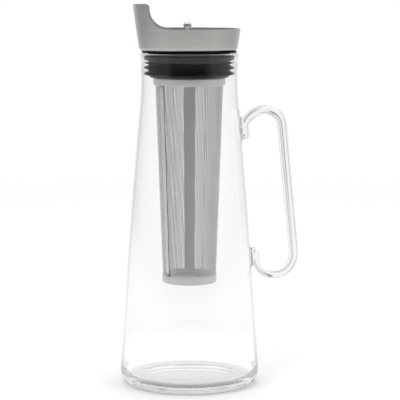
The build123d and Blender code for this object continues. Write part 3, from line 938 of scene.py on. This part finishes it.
def handle_rod():
    top_height = JUG_HEIGHT - HANDLE_DROP
    top = (wall_radius(top_height) + HANDLE_REACH, top_height)
    lower_weld = top_height - LOWER_WELD_DROP
    curl_turn = pi / 2 - wall_lean(lower_weld)
    across_grip = wall_radius(lower_weld) + TAIL_STANDOFF + CURL_BEND * sin(curl_turn) - top[0]
    bend_step = LOW_BEND - TOP_BEND
    lean = asin(across_grip / hypot(GRIP_LENGTH, bend_step)) + atan2(bend_step, GRIP_LENGTH)
    along_wall = pi / 2 + wall_lean(top_height)
    dx, dz = bend_offset(NECK_BEND, NECK_BEND_TURN, 0)
    ex, ez = bend_offset(FOOT_BEND, along_wall, NECK_BEND_TURN)
    foot = (top[0] - dx - ex - FOOT_LENGTH * cos(along_wall), top[1] - dz - ez - FOOT_LENGTH * sin(along_wall))
    rod = Rod(foot, along_wall)
    rod.straight(FOOT_LENGTH, 5)
    rod.bend(FOOT_BEND, along_wall - NECK_BEND_TURN, 5)
    rod.bend(NECK_BEND, NECK_BEND_TURN, 20)
    rod.bend(TOP_BEND, pi / 2 - lean, 22)
    rod.straight(GRIP_LENGTH, 40)
    rod.bend(LOW_BEND, pi / 2 + lean, 26)
    rod.bend(CURL_BEND, curl_turn, 20)
    rod.straight(TAIL_LENGTH, 4)
    print(f"rod top {top[0]:.4f}, {top[1]:.4f}, foot stands {foot[0] - wall_radius(foot[1]):.5f} from the wall,",
          f"tip at {rod.place.z:.4f}")
    return to_object(rod.close(), "handle_rod", sharp=60)


rod = handle_rod()

# %% [markdown]
# ## Welding the handle on
# Where the rod meets the wall, the flame melts both and the glass flows together. A pad of glass fills the corner
# on both sides of the rod. The three bodies are joined into one, because a glass piece that merely touches another
# would show the hidden faces between them. Then the corners where they meet are relaxed, as melted glass relaxes.

# %% Weld pads
PAD_SINK = 0.0009                 # how deep a pad reaches into the wall, less than the wall's thickness
UPPER_PAD = (0.2035, 0.0165, 0.0050, 0.0034)      # height, length, half width, how far it stands out
LOWER_PAD = (0.1005, 0.0150, 0.0046, 0.0032)
MELT_REACH = 0.0022
MELT_ROUNDS = 14


def weld_pad(name, height, length, half_width, stands_out):
    """A flat bead of glass that lies along the wall, under the rod."""
    bm = bmesh.new()
    bmesh.ops.create_uvsphere(bm, u_segments=32, v_segments=20, radius=1.0)
    bmesh.ops.scale(bm, verts=bm.verts, vec=(stands_out, half_width, length / 2))
    for vert in bm.verts:
        vert.co.x = max(vert.co.x, -PAD_SINK)
    lean = Matrix.Rotation(-wall_lean(height), 4, "Y")
    bmesh.ops.transform(bm, matrix=Matrix.Translation((wall_radius(height), 0, height)) @ lean, verts=bm.verts)
    return to_object(bm, name)


combine(jug, weld_pad("upper_pad", *UPPER_PAD), "UNION")
combine(jug, weld_pad("lower_pad", *LOWER_PAD), "UNION")
combine(jug, rod, "UNION")


def melt(piece, height_low, height_high):
    """Relaxes the creases between the rod, its pads and the wall."""
    bm = bmesh.new()
    bm.from_mesh(piece.data)
    bmesh.ops.remove_doubles(bm, verts=bm.verts, dist=0.00004)
    outside = [v for v in bm.verts if v.co.x > 0 and hypot(v.co.x, v.co.y) > wall_radius(v.co.z) - GLASS_WALL / 2
               and height_low < v.co.z < height_high and abs(v.co.y) < 0.012]
    near = set(outside)
    creases = [e for e in bm.edges if e.is_manifold and e.verts[0] in near and e.calc_face_angle() > radians(22)]
    middles = [(e.verts[0].co + e.verts[1].co) / 2 for e in creases]
    soft = [v for v in outside if any((v.co - m).length < MELT_REACH for m in middles)]
    for _ in range(MELT_ROUNDS):
        bmesh.ops.smooth_vert(bm, verts=soft, factor=0.5, use_axis_x=True, use_axis_y=True, use_axis_z=True)
    print(f"melted {len(soft)} points round {len(creases)} crease edges")
    bm.to_mesh(piece.data)
    bm.free()


melt(jug, 0.188, 0.222)
melt(jug, 0.088, 0.113)
jug.data.shade_smooth()
jug.data.set_sharp_from_angle(angle=radians(60))
finish_piece(jug, clear_glass, "jug", "clear_glass", "carafe", "handle")

# %% [markdown]
# ## The lid's steel shell
# A disc of steel is drawn into a cup, its front half is pushed forward a little, and the wall is trimmed from the
# side, which leaves the raised lip. Here the cup is turned at full height and a plate with the outline of the trim
# is cut away from it, so the lip's edge is one clean curve.

# %% Draw and trim the shell
SHELL_SHEET = 0.0008
SHELL_CORNER = 0.003
SHELL_DEPTH = 0.0173
SHELL_FLARE = 0.0027
LIP_FLARE = 0.0051
NOSE_REACH = 0.0014
LIP_SWEEP = 0.0149
LIP_SWEEP_START = -0.0169
LIP_SWEEP_TURN = radians(86.5)
LIP_CORNER = 0.0035
SHELL_TURN = 192
CUTTER_SIZE = 0.1

shell_low, shell_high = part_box("lid_shell")
shell_bottom = shell_low.z
shell_rim = shell_bottom + SHELL_DEPTH
lip_top = shell_high.z
shell_foot = shell_high.x - SHELL_FLARE
core_bore = 0.02992


def shell_radius(height):
    """Radius of the shell's outside: a curve through its foot, its rim and the top of its lip."""
    share, lip_share = (height - shell_bottom) / SHELL_DEPTH, (lip_top - shell_bottom) / SHELL_DEPTH
    bow = (LIP_FLARE - SHELL_FLARE * lip_share) / (lip_share * (lip_share - 1))
    return shell_foot + (SHELL_FLARE - bow) * share + bow * share**2


def even_steps(low, high, steps):
    return [low + (high - low) * step / steps for step in range(steps + 1)]


def shell_cup():
    """The untrimmed cup. No ring of its mesh lies close to the rim, where the trim will cut."""
    heights = even_steps(shell_bottom + SHELL_CORNER + 0.001, shell_rim - 0.0015, 5)
    heights += even_steps(shell_rim + 0.0015, lip_top + 0.001, 7)
    outer = [(shell_radius(height), height) for height in heights]
    inner = [(radius - SHELL_SHEET, height) for radius, height in reversed(outer)]
    floor_top = shell_bottom + SHELL_SHEET
    points = [(core_bore, shell_bottom), (shell_foot, shell_bottom), *outer, *inner,
              (shell_foot - SHELL_SHEET, floor_top), (core_bore, floor_top)]
    bm, verts = section(points)
    round_corner(bm, verts[1], SHELL_CORNER, 6)
    round_corner(bm, verts[-2], SHELL_CORNER - SHELL_SHEET, 6)
    turn(bm, SHELL_TURN)
    for vert in bm.verts:
        if vert.co.x < -WELD_DISTANCE:
            vert.co.x -= NOSE_REACH
    return to_object(bm, "steel_shell")


def trim_plate():
    """The side view of what is trimmed off above the rim, behind and above the lip."""
    centre = (LIP_SWEEP_START, shell_rim + LIP_SWEEP)
    sweep = [(centre[0] - LIP_SWEEP * sin(a), centre[1] - LIP_SWEEP * cos(a))
             for a in (LIP_SWEEP_TURN * step / 28 for step in range(29))]
    rise = lip_top - sweep[-1][1]
    corner = (sweep[-1][0] - rise / tan(LIP_SWEEP_TURN), lip_top)
    points = sweep + [corner, (-CUTTER_SIZE, lip_top), (-CUTTER_SIZE, 4 * CUTTER_SIZE),
                      (CUTTER_SIZE, 4 * CUTTER_SIZE), (CUTTER_SIZE, shell_rim)]
    bm, verts = section(points)
    round_corner(bm, verts[len(sweep)], LIP_CORNER, 8)
    face = bmesh.ops.contextual_create(bm, geom=bm.edges[:])["faces"][0]
    bmesh.ops.translate(bm, verts=bm.verts, vec=(0, -CUTTER_SIZE, 0))
    pushed = bmesh.ops.extrude_face_region(bm, geom=[face])["geom"]
    far = [item for item in pushed if isinstance(item, bmesh.types.BMVert)]
    bmesh.ops.translate(bm, verts=far, vec=(0, 2 * CUTTER_SIZE, 0))
    bmesh.ops.recalc_face_normals(bm, faces=bm.faces)
    return to_object(bm, "trim_plate")


shell = shell_cup()
combine(shell, trim_plate(), "DIFFERENCE")
shell.data.shade_smooth()
shell.data.set_sharp_from_angle(angle=radians(35))
bevel_edges(shell, 0.0002)
finish_piece(shell, satin_steel, "lid", "satin_steel", "lid_shell")

# %% [markdown]
# ## The gasket
# Soft silicone with a thin flange that rests on the glass and four fins that bend against the inside of the neck.
# Its section is turned with rounded fin tips, and then every fin is let wander up and down a little, because
# silicone that is pushed into glass never sits quite level.

# %% Mould the gasket
FLANGE = 0.0014
GASKET_ROOT = 0.0009
FIN_COUNT = 4
FIN_DROP = 0.0027                 # from the top of the glass to the uppermost fin
FIN_PITCH = 0.0044
FIN_ROOT = 0.0032
FIN_TIP = 0.0008
FIN_GAP = 0.0003
FIN_WAVE = 0.00022

gasket_low, gasket_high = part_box("gasket")
clamp_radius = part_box("clamp_ring")[1].x
fin_radius = NECK_RADIUS - GLASS_WALL - FIN_GAP


def gasket_ring():
    inner = clamp_radius + 0.00002
    root = inner + GASKET_ROOT
    seat = gasket_high.z - FLANGE
    points = [(inner, gasket_low.z), (root, gasket_low.z)]
    tips = []
    for number in reversed(range(FIN_COUNT)):
        height = JUG_HEIGHT - FIN_DROP - number * FIN_PITCH
        tips += [len(points) + 1, len(points) + 2]
        points += [(root, height - FIN_ROOT / 2), (fin_radius, height - FIN_TIP / 2),
                   (fin_radius, height + FIN_TIP / 2), (root, height + FIN_ROOT / 2)]
    flange = len(points) + 1
    points += [(root, seat), (gasket_high.x, seat), (gasket_high.x, gasket_high.z), (inner, gasket_high.z)]
    bm, verts = section(points)
    for number in tips:
        round_corner(bm, verts[number], 0.0003, 3)
    for number in (flange, flange + 1):
        round_corner(bm, verts[number], 0.0005, 4)
    turn(bm, 144)
    for vert in bm.verts:
        radius, angle = hypot(vert.co.x, vert.co.y), atan2(vert.co.y, vert.co.x)
        share = max(0.0, (radius - root) / (fin_radius - root))
        if vert.co.z < seat - 0.0005:
            level = round((JUG_HEIGHT - FIN_DROP - vert.co.z) / FIN_PITCH)
            wave = sin(3 * angle + 2.1 * level) + 0.6 * sin(7 * angle + 1.3 * level)
            vert.co.z += FIN_WAVE * share * wave
    return to_object(bm, "silicone_gasket", sharp=50)


finish_piece(gasket_ring(), black_silicone, "lid", "black_silicone", "gasket")

# %% [markdown]
# ## Small carried-over pieces
# The plug, the clamp ring, the flap and the hinge already have their true shape in the frame. What they lack is the
# small round that tumbling or a mould leaves on every edge. A welded copy of each mesh gets that round.

# %% Round the edges of a frame node
def softened(node, name, width, angle=30):
    """A copy of a frame node with its sharp edges rounded."""
    bm = bmesh.new()
    bm.from_mesh(nodes[node].data)
    bmesh.ops.remove_doubles(bm, verts=bm.verts, dist=WELD_DISTANCE)
    bmesh.ops.dissolve_limit(bm, angle_limit=radians(0.3), verts=bm.verts, edges=bm.edges)
    made = to_object(bm, name, sharp=angle)
    bevel_edges(made, width, angle=angle)
    return made


finish_piece(softened("lid_core", "lid_plug", 0.0002), black_plastic, "lid", "black_plastic", "lid_core")
finish_piece(softened("clamp_ring", "lid_clamp_ring", 0.0003), black_plastic, "lid", "black_plastic", "clamp_ring")
finish_piece(softened("flap", "steel_flap", 0.00015), satin_steel, "flap", "satin_steel", "flap")
finish_piece(softened("hinge_pin", "flap_hinge_pin", 0.0002), polished_steel, "lid", "polished_steel", "hinge_pin")

# %% [markdown]
# ## The knob
# A polished ball on a short waisted stem, screwed to the flap from below. It is turned from bar, so its whole
# outline is one section.

# %% Turn the knob
BALL_RADIUS = 0.00325
STEM_RADIUS = 0.0018
KNOB_FOOT = (0.0032, 0.001)

knob_low, knob_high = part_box("flap_knob")
knob_x = (knob_low.x + knob_high.x) / 2


def ball_knob():
    ball_centre = knob_high.z - BALL_RADIUS
    low = asin(STEM_RADIUS / BALL_RADIUS) - pi / 2
    ball = [(BALL_RADIUS * cos(a), ball_centre + BALL_RADIUS * sin(a))
            for a in (low + (pi / 2 - low) * step / 20 for step in range(20))]
    foot_radius, foot_height = KNOB_FOOT
    points = [(0, knob_low.z), (foot_radius, knob_low.z), (foot_radius, knob_low.z + foot_height),
              (STEM_RADIUS, knob_low.z + foot_height), *ball, (0, knob_high.z)]
    bm, verts = section(points)
    round_corner(bm, verts[2], 0.0004, 4)
    round_corner(bm, verts[3], 0.0007, 4)
    axis_edges = [e for e in bm.edges if max(abs(v.co.x) for v in e.verts) < WELD_DISTANCE]
    bmesh.ops.delete(bm, geom=axis_edges, context="EDGES")
    turn(bm, 48)
    bmesh.ops.translate(bm, verts=bm.verts, vec=(knob_x, 0, 0))
    return to_object(bm, "ball_knob")


finish_piece(ball_knob(), polished_steel, "flap", "polished_steel", "flap_knob")

# %% [markdown]
# ## The infuser
# A steel collar plugs into the lid. Below it hangs a tapering sleeve of etched sheet. The holes are real: a flat
# grid of cells is inset cell by cell, the middles are deleted, and the sheet is rolled into a cone and thickened.

# %% Sizes of the infuser
COLLAR_HEIGHT = 0.0052
SKIRT_WALL = 0.0018
NECK_WALL = 0.0027
SLEEVE_TAPER = radians(2.1)
SLEEVE_SHEET = 0.0004
SLEEVE_TUCK = 0.004
GROOVE_WIDTH = 0.002
GRIP_RISE = 0.0073
BASE_RING_HEIGHT = 0.0055
BASE_RING_SHEET = 0.0006
BASE_LIP = 0.0025

collar_low, collar_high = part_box("infuser_collar")
sleeve_low, sleeve_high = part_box("infuser_screen")
grip_low, grip_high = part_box("grip_ring")
collar_radius = collar_high.x
collar_bottom = collar_low.z
collar_top = collar_bottom + COLLAR_HEIGHT
sleeve_radius = collar_radius - SKIRT_WALL


def sleeve_at(height):
    """Outer radius of the sleeve at a height."""
    return sleeve_radius - (collar_bottom - height) * tan(SLEEVE_TAPER)


print(f"sleeve {sleeve_at(sleeve_low.z):.4f} to {sleeve_at(collar_bottom):.4f} m in radius")

# %% Collar, grip ring and base ring
def collar_ring():
    neck_outer = grip_high.x - 0.00015
    neck_bore = neck_outer - NECK_WALL
    tuck_top = collar_bottom + SLEEVE_TUCK
    middle = (grip_low.z + grip_high.z) / 2
    floor_radius = grip_high.x - (grip_high.z - grip_low.z) - 0.00002
    low, high = middle - GROOVE_WIDTH / 2, middle + GROOVE_WIDTH / 2
    points = [(neck_bore, tuck_top), (sleeve_at(tuck_top), tuck_top), (sleeve_at(collar_bottom), collar_bottom),
              (collar_radius, collar_bottom), (collar_radius, collar_top), (neck_outer, collar_top),
              (neck_outer, low), (floor_radius, low), (floor_radius, high), (neck_outer, high),
              (neck_outer, collar_high.z), (neck_bore, collar_high.z)]
    rounds = {3: 0.0004, 4: 0.0004, 10: 0.0006, 11: 0.0006}
    return to_object(turned(points, rounds, 128), "infuser_neck")


def base_ring():
    top = sleeve_low.z + BASE_RING_HEIGHT
    low = sleeve_low.z - BASE_RING_SHEET
    outer_low, outer_top = sleeve_at(sleeve_low.z) + BASE_RING_SHEET, sleeve_at(top) + BASE_RING_SHEET
    inner = sleeve_at(sleeve_low.z) - SLEEVE_SHEET - BASE_LIP
    points = [(inner, low), (outer_low, low), (outer_top, top), (sleeve_at(top), top),
              (sleeve_at(sleeve_low.z), sleeve_low.z), (inner, sleeve_low.z)]
    return to_object(turned(points, {1: 0.0005, 2: 0.00025}, 96), "infuser_foot_ring")


# the collar and foot ring get the lighter copy of satin steel, painted light for the lamp light that the glass holds
# back
finish_piece(collar_ring(), lit_ring_steel, "infuser", "satin_steel", "infuser_collar")
finish_piece(base_ring(), lit_ring_steel, "infuser", "satin_steel", "infuser_base_ring")

# %% Etch and roll the sleeve
PANELS = 6
PANEL_COLUMNS = 22
CELL = 0.00112                    # side of a grid cell. Poking it gives holes at half its diagonal
HOLE_BAR = 0.000097               # half of the bar between two holes
SHEET_THICKNESS = 0.00022
ROW_SLANT = 5                     # rows of cells that the sheet climbs across one panel
PLAIN_TOP = 0.0046
PLAIN_BOTTOM = 0.0060


def diamond_lattice(columns, rows):
    """A flat grid whose cells are turned into diamonds, so that the holes lie in staggered rows."""
    bm = bmesh.new()
    bmesh.ops.create_grid(bm, x_segments=columns, y_segments=rows, size=0.5)
    bmesh.ops.scale(bm, verts=bm.verts, vec=(columns * CELL, rows * CELL, 1))
    straight = [edge for edge in bm.edges if not edge.is_boundary]
    bmesh.ops.poke(bm, faces=bm.faces)
    bmesh.ops.dissolve_edges(bm, edges=straight, use_verts=False)
    return bm


def etch(bm, cells):
    """Takes the middle out of every cell."""
    bmesh.ops.inset_individual(bm, faces=cells, thickness=HOLE_BAR, use_even_offset=True)
    bmesh.ops.delete(bm, geom=cells, context="FACES")


def thicken(piece, thickness):
    """Gives a sheet its thickness. The side away from the eye gets the piece's second finish."""
    sheet = piece.modifiers.new("sheet", "SOLIDIFY")
    sheet.thickness = thickness
    sheet.offset = -1
    sheet.material_offset = 1


def etched_panel(number):
    """A part of the sleeve: etched flat on a slant, trimmed, rolled to the sleeve's cone and thickened."""
    length = sleeve_high.z - sleeve_low.z
    width, height = PANEL_COLUMNS * CELL, round(length / CELL) * CELL
    bm = diamond_lattice(PANEL_COLUMNS, round(length / CELL) + ROW_SLANT + 2)
    for vert in bm.verts:
        vert.co.y += vert.co.x / width * ROW_SLANT * CELL
    for side in (-1, 1):
        bmesh.ops.bisect_plane(bm, geom=bm.verts[:] + bm.edges[:] + bm.faces[:], plane_co=(0, side * height / 2, 0),
                               plane_no=(0, side, 0), clear_outer=True)

    def level(y):
        return sleeve_low.z + (y / height + 0.5) * length

    low, high = sleeve_low.z + PLAIN_BOTTOM, sleeve_high.z - PLAIN_TOP
    etch(bm, [face for face in bm.faces if low < level(face.calc_center_median().y) < high])
    for vert in bm.verts:
        angle = FULL_TURN / PANELS * (number + vert.co.x / width + 0.5)
        radius = sleeve_at(level(vert.co.y))
        vert.co = (radius * cos(angle), radius * sin(angle), level(vert.co.y))
    made = to_object(bm, f"etched_sleeve_{number + 1}", sharp=40)
    thicken(made, SHEET_THICKNESS)
    return made


for number in range(PANELS):
    panel = finish_piece(etched_panel(number), perforated_steel, "infuser", "perforated_steel", "infuser_screen")
    panel.data.materials.append(dull_steel)

# %% Seam straps
STRAP_SHEET = 0.00035
STRAP_GAP = 0.0002
STRAP_LIFT = 0.00006              # keeps the strip clear of the sheet, so that the two faces don't fight
STRAPS = ((90.0, 21.0), (217.0, 12.0))      # direction and width in degrees


def seam_strap(number, direction, width):
    """A plain strip welded over the sleeve's seam, rolled from a flat grid that keeps its UV map."""
    bm = bmesh.new()
    bm.loops.layers.uv.new("strap")
    bmesh.ops.create_grid(bm, x_segments=10, y_segments=24, size=0.5, calc_uvs=True)
    low, high = sleeve_low.z + BASE_RING_HEIGHT + STRAP_GAP, collar_bottom - STRAP_GAP
    for vert in bm.verts:
        height = low + (vert.co.y + 0.5) * (high - low)
        angle = radians(direction + width * vert.co.x)
        radius = sleeve_at(height) + STRAP_SHEET
        vert.co = (radius * cos(angle), radius * sin(angle), height)
    made = to_object(bm, f"seam_strap_{number}", sharp=40)
    thicken(made, STRAP_SHEET - STRAP_LIFT)
    return made


for number, (direction, width) in enumerate(STRAPS, 1):
    strap = finish_piece(seam_strap(number, direction, width), strap_steel, "infuser", "strap_steel", "seam_straps")
    strap.data.materials.append(shaded_strap_back)

# %% Bottom screen
def bottom_screen():
    """The disc of etched sheet that closes the sleeve. Its ragged edge lies under the foot ring's lip."""
    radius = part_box("infuser_base_screen")[1].x
    cells_across = 2 * int(radius / CELL)
    bm = diamond_lattice(cells_across, cells_across)
    outside = [v for v in bm.verts if hypot(v.co.x, v.co.y) > radius]
    bmesh.ops.delete(bm, geom=outside, context="VERTS")
    etch(bm, [f for f in bm.faces if f.calc_center_median().length < radius - BASE_LIP / 2])
    bmesh.ops.translate(bm, verts=bm.verts, vec=(0, 0, sleeve_low.z + SLEEVE_SHEET))
    made = to_object(bm, "etched_bottom", sharp=40)
    thicken(made, SHEET_THICKNESS)
    return made


bottom = finish_piece(bottom_screen(), perforated_steel, "infuser", "perforated_steel", "infuser_base_screen")
bottom.data.materials.append(dull_steel)

# %% [markdown]
# ## Nodes that stay
# The washer, the screw and the grip ring are shown as they are in the frame, with a proper finish.

# %% Finish the nodes that stay
STAYING = {"knob_washer": polished_steel, "knob_screw": polished_steel, "grip_ring": black_silicone}
for name, material in STAYING.items():
    for slot in nodes[name].material_slots:
        slot.material = material
    nodes[name].data.shade_smooth()
    nodes[name].data.set_sharp_from_angle(angle=radians(35))
print("kept from the frame:", ", ".join(STAYING))
